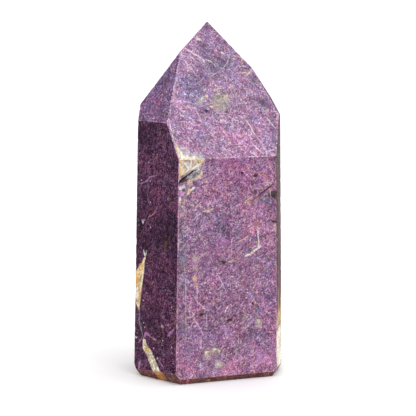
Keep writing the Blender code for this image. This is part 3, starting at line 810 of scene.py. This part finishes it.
def sink(points, fields, arris):
    """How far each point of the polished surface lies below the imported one, in millimetres."""
    swell = 1 + noise_at(points, size=5.0, seed=1)
    grain = np.clip(noise_at(points, size=0.9, seed=2), 0, 1)
    patch = smooth_step(-1, 1.5, fields.values["patch"]) * (1 + noise_at(points, size=0.8, seed=3))
    vein = 1 - smooth_step(0.1, 0.45, fields.values["streak_reach"])
    chipped = smooth_step(0.15, 0.6, noise_at(points, size=1.3, seed=4)) * (1 - smooth_step(0.0, 0.7, arris))
    depth = SWELL_DEPTH * swell + GRAIN_DEPTH * grain + VEIN_DEPTH * vein + CHIP_DEPTH * chipped
    return depth + PATCH_DEPTH * np.maximum(patch, 0)


def surface_normals(points, triangles):
    """Unit normals at the points, from the areas of the triangles round them."""
    corner = points[triangles]
    cross = np.cross(corner[:, 1] - corner[:, 0], corner[:, 2] - corner[:, 0])
    normals = np.zeros_like(points)
    for slot in range(3):
        np.add.at(normals, triangles[:, slot], cross)
    return normals / np.maximum(np.linalg.norm(normals, axis=1), TINY)[:, None]


class Character(NamedTuple):
    """How a facet cuts the stone: tint_and_painted_light (its colour factor, partly painted shade or painted
    reflection), blueness, contrast of the grain, turn of the fibres in degrees.
    """

    tint_and_painted_light: tuple
    blue: float
    contrast: float
    turn: float


# The tints hold painted light as well as colour: the left side and left tip facet are darker partly by the
# stone's own look and partly as painted shade, and the front tip facet is lighter partly as a painted
# reflection of the soft light
CHARACTERS = {
    name: Character(*values) for name, values in {
        "front": ((1.02, 0.97, 0.97), 0.5, 1.0, 40),
        "front_tip": ((1.23, 1.38, 1.28), 0.5, 0.9, -52),
        "left": ((0.255, 0.175, 0.235), 0.3, 1.8, 70),
        "left_tip": ((0.67, 0.58, 0.76), 0.7, 1.3, -48),
        "right": ((0.42, 0.42, 0.33), 0.2, 1.0, 55),
        "right_tip": ((0.7, 0.72, 0.72), 0.4, 1.0, -35),
        "back_right": ((0.62, 0.55, 0.6), 0.5, 1.1, 30),
        "back_right_tip": ((0.8, 0.8, 0.84), 0.5, 1.0, 62),
        "back": ((0.85, 0.8, 0.84), 0.5, 1.0, -65),
        "back_tip": ((0.9, 0.9, 0.95), 0.5, 1.0, 20),
        "back_left": ((0.45, 0.34, 0.42), 0.4, 1.3, 48),
        "back_left_tip": ((0.6, 0.55, 0.64), 0.6, 1.2, -30),
        "base": ((0.5, 0.42, 0.45), 0.2, 0.8, 10),
    }.items()
}
FOOT = Character((0.52, 0.44, 0.24), 0.0, 0.5, 80)

# The flats with a soft sawn finish instead of a polish
SATIN = {"left", "back_left", "right", "right_tip", "base"} | {side + "_foot" for side in BEARINGS}

# How far apart the facets' maps lie, so that no two facets show the same fibres
MAP_SPACING = 137.0

# Edges that bend more than this many degrees are drawn sharp
SHARP_ANGLE = 34


def numbers(mesh, name, values, domain="POINT"):
    mesh.attributes.new(name, "FLOAT", domain).data.foreach_set("value", values)


def colours(mesh, name, values, domain="POINT"):
    mesh.attributes.new(name, "FLOAT_COLOR", domain).data.foreach_set("color", values.ravel())


def facet_look(mesh, facets, points, triangles):
    """Each facet's tint_and_painted_light on its triangles, and a map of it in millimetres with U along its
    main fibres.
    """
    owner, _, _ = nearest_facets(facets, points[triangles].mean(axis=1))
    looks = [CHARACTERS.get(facet.name, FOOT) for facet in facets]
    tints_and_painted_light = np.array([(*look.tint_and_painted_light, look.blue) for look in looks])
    colours(mesh, "tint_and_painted_light", tints_and_painted_light[owner], "FACE")
    contrasts = np.array([look.contrast for look in looks])
    numbers(mesh, "contrast", contrasts[owner], "FACE")
    satin = np.array([int(facet.name in SATIN) for facet in facets], np.int32)
    mesh.polygons.foreach_set("material_index", satin[owner])
    layer = mesh.uv_layers.new(name="facet")
    map_places = np.empty((len(triangles), 3, 2))
    for number, (facet, look) in enumerate(zip(facets, looks)):
        mine = owner == number
        turn = math.radians(look.turn)
        spin = np.array(((math.cos(turn), -math.sin(turn)), (math.sin(turn), math.cos(turn))))
        flat = facet.flatten(points[triangles[mine]].reshape(-1, 3)) @ spin
        map_places[mine] = flat.reshape(-1, 3, 2) + MAP_SPACING * number
    layer.data.foreach_set("uv", map_places.ravel())


def dress_stone():
    """The finely meshed stone, with its marks as attributes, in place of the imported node."""
    facets, points, triangles = fine_surface(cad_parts[NODE])
    own, depth, arris = nearest_facets(facets, points)
    fields = lay_marks(facets, points, own)
    normals = surface_normals(points, triangles)
    sunk = points - normals * sink(points, fields, arris)[:, None]
    mesh = bpy.data.meshes.new("polished_stone")
    mesh.from_pydata((sunk * MM).tolist(), [], triangles.tolist())
    for name, values in fields.values.items():
        numbers(mesh, name, values)
    for name, values in fields.colours.items():
        colours(mesh, name + "_colour", values)
    colours(mesh, "tone", fields.tone)
    numbers(mesh, "arris", arris)
    # How deep each point lies in a pit or crack; the material uses it for painted shade and for rougher
    # hollows
    numbers(mesh, "hollow_shade_mask", smooth_step(0.12, 0.6, depth))
    mesh.materials.append(stone_material("polished_purpurite", gloss=0.25, dullness=0.0))
    mesh.materials.append(stone_material("satin_purpurite", gloss=0.05, dullness=0.25))
    facet_look(mesh, facets, points, triangles)
    mesh.shade_smooth()
    mesh.set_sharp_from_angle(angle=math.radians(SHARP_ANGLE))
    stone = bpy.data.objects.new("polished_stone", mesh)
    bpy.context.scene.collection.objects.link(stone)
    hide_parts(NODE)
    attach(stone, "root")
    return stone


class Graph:
    """Adds nodes to a material; an input may be a number, a colour or another node's output."""

    def __init__(self, name):
        self.material = bpy.data.materials.new(name)
        self.material.use_nodes = True
        self.tree = self.material.node_tree
        self.shader = self.tree.nodes["Principled BSDF"]

    def feed(self, socket, value):
        if isinstance(value, bpy.types.NodeSocket):
            self.tree.links.new(value, socket)
        elif isinstance(value, tuple) and len(value) == 3 and socket.type == "RGBA":
            socket.default_value = (*value, 1)
        else:
            socket.default_value = value

    def add(self, kind, inputs=(), **settings):
        node = self.tree.nodes.new(kind)
        for name, value in settings.items():
            setattr(node, name, value)
        for key, value in dict(inputs).items():
            self.feed(node.inputs[key], value)
        return node

    def math(self, operation, first, second=0.0, third=0.0):
        slots = {0: first, 1: second, 2: third}
        return self.add("ShaderNodeMath", slots, operation=operation).outputs[0]

    def mix(self, share, first, second, blend="MIX"):
        slots = {0: share, 6: first, 7: second}
        return self.add("ShaderNodeMix", slots, data_type="RGBA", blend_type=blend).outputs[2]

    def step(self, low, high, value, start=0.0, end=1.0):
        slots = {"Value": value, "From Min": low, "From Max": high, "To Min": start, "To Max": end}
        return self.add("ShaderNodeMapRange", slots, interpolation_type="SMOOTHSTEP").outputs["Result"]

    def attribute(self, name):
        return self.add("ShaderNodeAttribute", attribute_name=name).outputs

    def shift(self, vector, turn=0.0, move=0.0, scale=(1, 1, 1)):
        """A vector turned about Z in degrees, moved, then stretched."""
        slots = {"Vector": vector, "Rotation": (0, 0, math.radians(turn)), "Location": (move, move, move)}
        turned = self.add("ShaderNodeMapping", slots).outputs[0]
        return self.add("ShaderNodeVectorMath", {0: turned, 1: scale}, operation="MULTIPLY").outputs[0]

    def noise(self, vector, size, detail=2.0, roughness=0.5, warp=0.0, dimensions="3D"):
        slots = {
            "Vector": vector, "Scale": 1 / size, "Detail": detail, "Roughness": roughness, "Distortion": warp,
        }
        return self.add("ShaderNodeTexNoise", slots, noise_dimensions=dimensions).outputs["Fac"]

    def specks(self, vector, size, radius, share, dimensions="3D"):
        """1 inside small round grains of one spacing, a radius in that spacing, in a share of the cells."""
        slots = {"Vector": vector, "Scale": 1 / size}
        cell = self.add("ShaderNodeTexVoronoi", slots, voronoi_dimensions=dimensions).outputs
        grain = self.step(radius * 1.25, radius * 0.75, cell["Distance"])
        pick = self.add("ShaderNodeSeparateColor", {0: cell["Color"]}).outputs[0]
        return self.math("MULTIPLY", grain, self.math("LESS_THAN", pick, share))

    def sway(self, value, middle, gain, total):
        """The total with a value's swing about its middle added to it."""
        return self.math("MULTIPLY_ADD", self.math("SUBTRACT", value, middle), gain, total)

    def wash(self, share, colour, factor):
        """A colour multiplied by a factor where the share is 1."""
        return self.mix(share, colour, self.mix(1.0, colour, factor, "MULTIPLY"))


class Weave(NamedTuple):
    """The stone's pattern: its colour, with painted glints and each facet's painted shade or reflection, how
    light it is, and the noises that the marks share.
    """

    colour: bpy.types.NodeSocket
    level: bpy.types.NodeSocket
    mottle: bpy.types.NodeSocket
    grain: bpy.types.NodeSocket
    tint_and_painted_light: bpy.types.NodeSocket


# The stone's linear colours from its darkest plum, at level 0, to its palest lilac, at level 1
LEVELS = (
    (0.0, (0.050, 0.028, 0.066)),
    (0.28, (0.175, 0.075, 0.160)),
    (0.5, (0.315, 0.145, 0.270)),
    (0.72, (0.470, 0.265, 0.400)),
    (1.0, (0.80, 0.62, 0.70)),
)

# Hairs, short thin needles, dark ones under pale ones: turn in degrees, share of cells, strength, colour
HAIRS = (
    (24, 0.16, 0.45, (0.070, 0.045, 0.090)),
    (-61, 0.16, 0.45, (0.070, 0.045, 0.090)),
    (3, 0.11, 0.50, (0.64, 0.38, 0.57)),
    (-12, 0.09, 0.50, (0.70, 0.52, 0.62)),
    (38, 0.08, 0.45, (0.64, 0.38, 0.57)),
    (-50, 0.08, 0.45, (0.72, 0.55, 0.60)),
    (80, 0.08, 0.45, (0.64, 0.38, 0.57)),
)

# Dark plum specks, pale crumbs, and a few of cream and blue: where their pattern starts, their spacing, their
# radius in that spacing, share of cells, strength, colour
GRAINS = (
    (0.0, 0.85, 0.28, 0.50, 0.75, (0.055, 0.034, 0.080)),
    (11.0, 0.52, 0.34, 0.40, 0.55, (0.075, 0.055, 0.110)),
    (23.0, 0.64, 0.22, 0.38, 0.55, (0.74, 0.58, 0.66)),
    (37.0, 1.10, 0.22, 0.10, 0.45, (0.56, 0.42, 0.28)),
    (53.0, 1.60, 0.20, 0.08, 0.50, (0.15, 0.17, 0.40)),
)


def weave_fibres(graph, solid, facet):
    """Interlocked plum, orchid and lilac fibres and grains, by place in the stone and on the facet, with
    painted glints and each facet's painted shade or reflection.
    """
    cloud = graph.noise(solid, 8.0, detail=3.0, roughness=0.55)
    drift = graph.noise(graph.shift(solid, move=40.0), 4.5, detail=4.0, roughness=0.6)
    clot = graph.noise(graph.shift(solid, move=90.0), 2.2, detail=3.0, roughness=0.6, warp=0.5)
    mottle = graph.noise(solid, 0.85, detail=3.0, roughness=0.65)
    grain = graph.noise(solid, 0.34, detail=2.0, roughness=0.65)
    sweep = graph.noise(graph.shift(solid, move=60.0), 7.0, detail=0.0)
    swept = {0: sweep, 1: (1, 1, 0), 2: facet}
    bend = graph.add("ShaderNodeVectorMath", swept, operation="MULTIPLY_ADD").outputs[0]
    main, cross_one, cross_two = (
        graph.noise(graph.shift(bend, turn, move, (0.5, squeeze, 1)), 1.0, 3.0, 0.65, dimensions="2D")
        for turn, move, squeeze in ((0, 0.0, 2.4), (58, 20.0, 2.8), (-47, 50.0, 2.6))
    )
    crossing = graph.math("MAXIMUM", cross_one, cross_two)

    swing = graph.sway(mottle, 0.5, 0.9, 0.0)
    for value, middle, gain in (
        (grain, 0.5, 1.7), (main, 0.5, 0.55), (crossing, 0.57, 0.6), (clot, 0.5, 0.7), (cloud, 0.5, 0.3),
    ):
        swing = graph.sway(value, middle, gain, swing)
    level = graph.math("MULTIPLY_ADD", swing, graph.attribute("contrast")["Fac"], 0.42)

    ramp = graph.add("ShaderNodeValToRGB", {0: level})
    while len(ramp.color_ramp.elements) < len(LEVELS):
        ramp.color_ramp.elements.new(0.5)
    for element, (place, colour) in zip(ramp.color_ramp.elements, LEVELS):
        element.position = place
        element.color = (*colour, 1)
    colour = ramp.outputs[0]

    # Bluer, pinker and olive zones, and grains that each differ a little in hue
    tint_and_painted_light = graph.attribute("tint_and_painted_light")
    bluer = graph.math("MULTIPLY_ADD", tint_and_painted_light["Alpha"], 0.15, graph.sway(clot, 0.5, 0.8, drift))
    blue = graph.step(0.46, 0.80, bluer)
    colour = graph.wash(blue, colour, (0.78, 0.96, 1.02))
    colour = graph.wash(graph.step(0.44, 0.66, cloud), colour, (1.12, 0.90, 1.00))
    stain = graph.noise(graph.shift(solid, move=130.0), 1.4, detail=3.0, roughness=0.7)
    olive = graph.step(0.50, 0.74, stain)
    colour = graph.wash(olive, colour, (1.02, 1.28, 0.80))
    hues = graph.add("ShaderNodeTexVoronoi", {"Vector": solid, "Scale": 2.4}).outputs["Color"]
    colour = graph.wash(0.18, colour, graph.mix(1.0, hues, (2, 2, 2), "MULTIPLY"))

    for turn, share, strength, hair_colour in HAIRS:
        long_cells = graph.shift(bend, turn, 3.0 * turn + 7.0, (0.28, 2.2, 1))
        hair = graph.specks(long_cells, size=1.0, radius=0.19, share=share, dimensions="2D")
        colour = graph.mix(graph.math("MULTIPLY", hair, strength), colour, hair_colour)
    for move, size, radius, share, strength, grain_colour in GRAINS:
        speck = graph.specks(graph.shift(solid, move=move), size, radius, share)
        colour = graph.mix(graph.math("MULTIPLY", speck, strength), colour, grain_colour)
    # Each facet's tint_and_painted_light and the clouds' tone multiply the colour, which paints shade on the
    # left-hand facets and a reflection on the front tip facet
    shade = graph.mix(1.0, tint_and_painted_light["Color"], graph.attribute("tone")["Color"], "MULTIPLY")
    colour = graph.mix(1.0, colour, shade, "MULTIPLY")
    # Painted glints: sparse pale specks that stand in for light caught on cleavage faces
    painted_glint = graph.specks(graph.shift(solid, move=173.0), size=1.4, radius=0.12, share=0.14)
    colour = graph.mix(graph.math("MULTIPLY", painted_glint, 0.6), colour, (0.72, 0.70, 0.76))
    return Weave(colour, level, mottle, grain, tint_and_painted_light["Color"])


def lay_on_marks(graph, weave, solid):
    """The marks over the weave, with edges frayed by fine noise; also how much of them shows."""
    fray = graph.math("SUBTRACT", graph.noise(solid, 0.5, detail=3.0, roughness=0.7), 0.5)
    lumps = graph.noise(graph.shift(solid, move=70.0), 0.7, detail=3.0, roughness=0.6)
    texture = graph.math("MULTIPLY_ADD", weave.level, 0.9, 0.62)

    patch = graph.math("MULTIPLY_ADD", fray, 3.4, graph.attribute("patch")["Fac"])
    paint_of = graph.attribute("patch_colour")
    speckled = graph.wash(graph.step(0.58, 0.42, lumps), paint_of["Color"], (0.70, 0.64, 0.56))
    speckled = graph.wash(1.0, speckled, texture)
    patchiness = graph.math("MULTIPLY", graph.step(-1.0, 1.0, patch), paint_of["Alpha"])
    colour = graph.mix(patchiness, weave.colour, speckled)

    fleck = graph.math("MULTIPLY_ADD", fray, 0.9, graph.attribute("fleck")["Fac"])
    paint_of = graph.attribute("fleck_colour")
    fleckiness = graph.math("MULTIPLY", graph.step(-0.12, 0.16, fleck), paint_of["Alpha"])
    fleckiness = graph.math("MULTIPLY", fleckiness, graph.step(0.36, 0.52, weave.mottle, 0.45, 1.0))
    colour = graph.mix(fleckiness, colour, graph.wash(1.0, paint_of["Color"], texture))

    side = graph.math("MULTIPLY_ADD", fray, 0.35, graph.attribute("streak_side")["Fac"])
    spare = graph.math("SUBTRACT", graph.attribute("streak_width")["Fac"], graph.math("ABSOLUTE", side))
    near = graph.step(0.60, 0.38, graph.attribute("streak_reach")["Fac"])
    paint_of = graph.attribute("streak_colour")
    streak = graph.math("MULTIPLY", graph.step(-0.08, 0.06, spare), paint_of["Alpha"])
    streak = graph.math("MULTIPLY", streak, near)
    streak = graph.math("MULTIPLY", streak, graph.step(0.40, 0.54, lumps, 0.25, 0.95))
    return graph.mix(streak, colour, paint_of["Color"]), patchiness, fray


def stone_material(name, gloss, dullness):
    """Purpurite with its marks, pale arrises that are partly rubbed and partly painted highlight, and hollows
    darkened as painted shade; gloss is its specular level.
    """
    graph = Graph(name)
    metres = graph.add("ShaderNodeTexCoord").outputs["Object"]
    solid = graph.add("ShaderNodeVectorMath", {0: metres, 1: (1 / MM,) * 3}, operation="MULTIPLY").outputs[0]
    facet = graph.add("ShaderNodeUVMap", uv_map="facet").outputs[0]
    weave = weave_fibres(graph, solid, facet)
    colour, patchiness, fray = lay_on_marks(graph, weave, solid)

    # Pale beads along the arrises: partly rubbed edges, partly a painted highlight where the edges catch the
    # light
    arris = graph.math("MULTIPLY_ADD", fray, 0.5, graph.attribute("arris")["Fac"])
    beads = graph.noise(solid, 0.9, detail=2.0, roughness=0.6)
    beads = graph.step(0.42, 0.62, beads, start=0.05, end=0.6)
    rubbed_and_highlit = graph.math("MULTIPLY", graph.step(0.22, 0.02, arris), beads)
    bright = graph.mix(1.0, (0.82, 0.62, 0.76), graph.mix(0.95, (1, 1, 1), weave.tint_and_painted_light), "MULTIPLY")
    colour = graph.mix(rubbed_and_highlit, colour, bright)
    hollow_shade_mask = graph.attribute("hollow_shade_mask")["Fac"]
    # Painted shade: pits and cracks darkened with their depth
    colour = graph.wash(hollow_shade_mask, colour, (0.75, 0.70, 0.70))

    rough = graph.step(0.30, 0.70, weave.mottle, 0.36 + dullness, 0.26 + dullness)
    rough = graph.math("MULTIPLY_ADD", patchiness, 0.2, rough)
    rough = graph.math("MULTIPLY_ADD", hollow_shade_mask, 0.3, rough)
    height = graph.math("MULTIPLY_ADD", weave.grain, 0.5, weave.level)
    bump = graph.add("ShaderNodeBump", {"Strength": 0.5, "Distance": 0.00002, "Height": height}).outputs[0]
    graph.feed(graph.shader.inputs["Base Color"], colour)
    graph.feed(graph.shader.inputs["Roughness"], rough)
    graph.feed(graph.shader.inputs["Normal"], bump)
    graph.shader.inputs["IOR"].default_value = 1.5
    graph.shader.inputs["Specular IOR Level"].default_value = gloss
    return graph.material


def lay_floor():
    """A wide plain pale floor at the foot of the stone."""
    half = 60.0  # metres
    mesh = bpy.data.meshes.new("floor")
    corners = [(-half, -half, 0), (half, -half, 0), (half, half, 0), (-half, half, 0)]
    mesh.from_pydata(corners, [], [(0, 1, 2, 3)])
    paper = Graph("pale_floor")
    paper.shader.inputs["Base Color"].default_value = (0.97, 0.97, 0.97, 1)
    paper.shader.inputs["Roughness"].default_value = 0.9
    paper.shader.inputs["Specular IOR Level"].default_value = 0.0
    mesh.materials.append(paper.material)
    floor = bpy.data.objects.new("floor", mesh)
    bpy.context.scene.collection.objects.link(floor)


def soft_light(name, bearing, elevation, spread, strength):
    """A distant light as wide as a large softbox; bearing, elevation and spread are in degrees."""
    turn, lift = math.radians(bearing), math.radians(elevation)
    away = Vector((math.sin(turn) * math.cos(lift), -math.cos(turn) * math.cos(lift), math.sin(lift)))
    data = bpy.data.lights.new(name, "SUN")
    data.angle = math.radians(spread)
    data.energy = strength
    lamp = bpy.data.objects.new(name, data)
    lamp.rotation_euler = away.to_track_quat("Z", "Y").to_euler()
    bpy.context.scene.collection.objects.link(lamp)


def light_studio():
    """An even white surround, and a large soft light high at the front right."""
    world = bpy.data.worlds.new("studio")
    world.use_nodes = True
    background = world.node_tree.nodes["Background"]
    background.inputs["Color"].default_value = (1, 1, 1, 1)
    background.inputs["Strength"].default_value = 1.08
    bpy.context.scene.world = world
    bpy.context.scene.view_settings.view_transform = "Standard"
    soft_light("key", bearing=25, elevation=55, spread=60, strength=0.7)


def place_camera():
    """A long lens at the front left of the stone, looking slightly down."""
    yaw, pitch = math.radians(20), math.radians(8.165)
    distance, height, aside = 0.370, 0.0954, 0.0008  # metres
    data = bpy.data.cameras.new("camera")
    data.sensor_width = 36
    data.lens = 126.0
    camera = bpy.data.objects.new("camera", data)
    camera.location = (
        aside * math.cos(yaw) - distance * math.sin(yaw),
        -aside * math.sin(yaw) - distance * math.cos(yaw),
        height,
    )
    camera.rotation_euler = (math.radians(90) - pitch, 0, -yaw)
    bpy.context.scene.collection.objects.link(camera)
    bpy.context.scene.camera = camera


place_camera()
light_studio()
lay_floor()
dress_stone()
